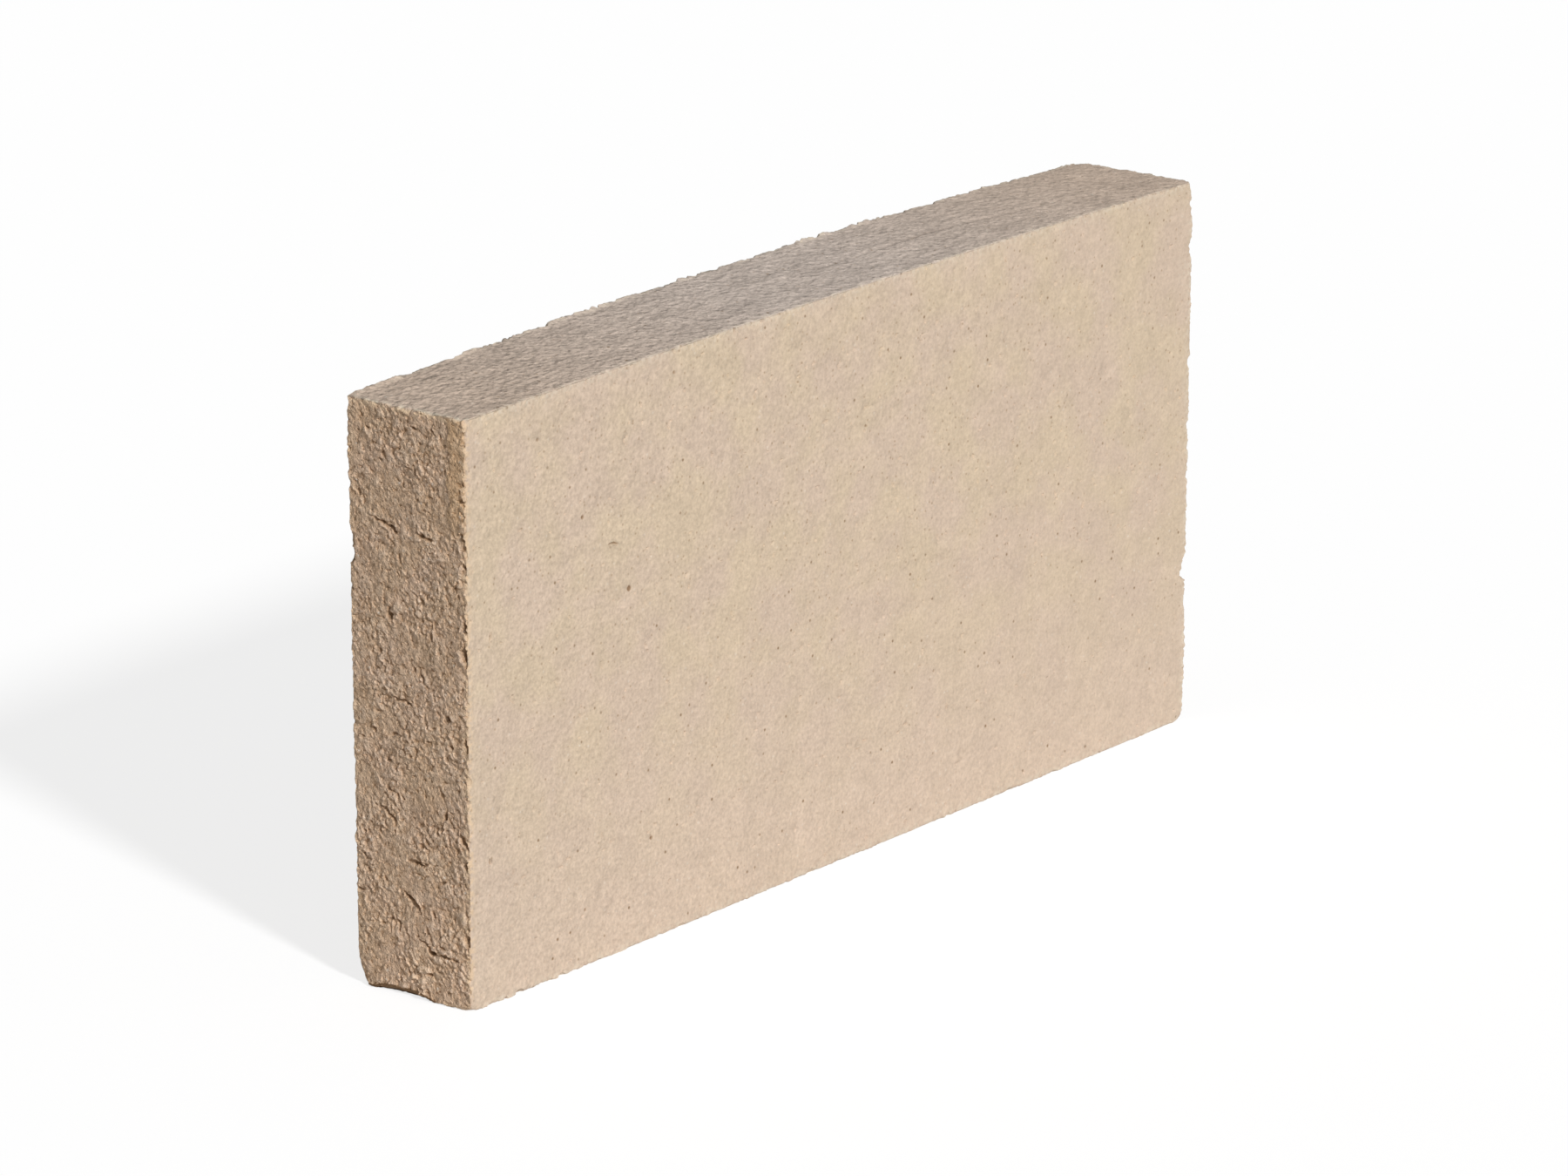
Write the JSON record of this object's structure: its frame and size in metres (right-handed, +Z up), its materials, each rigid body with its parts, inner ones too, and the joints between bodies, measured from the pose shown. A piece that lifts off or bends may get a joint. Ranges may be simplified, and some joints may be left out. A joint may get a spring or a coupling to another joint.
{
  "type": "refractory firebrick",
  "caption": "Thin fired-clay firebrick for lining stoves and kilns, standing on its long narrow side, with a slightly crowned top, rounded arrises and small spalls.",
  "frame": {"origin": "on the floor, under the middle of the brick's foot", "axes": "+X along the length, from the rough end seen in the picture to the far end; +Y through the thickness, from the front face to the back; +Z up, from the foot to the crowned top"},
  "size_m": [0.25, 0.03, 0.1255],
  "materials": {
    "fireclay": "matt fired clay, unglazed, sandy on the large faces and torn on the ends"
  },
  "bodies": {
    "root": {"firebrick": "fireclay"}
  },
  "joints": []
}
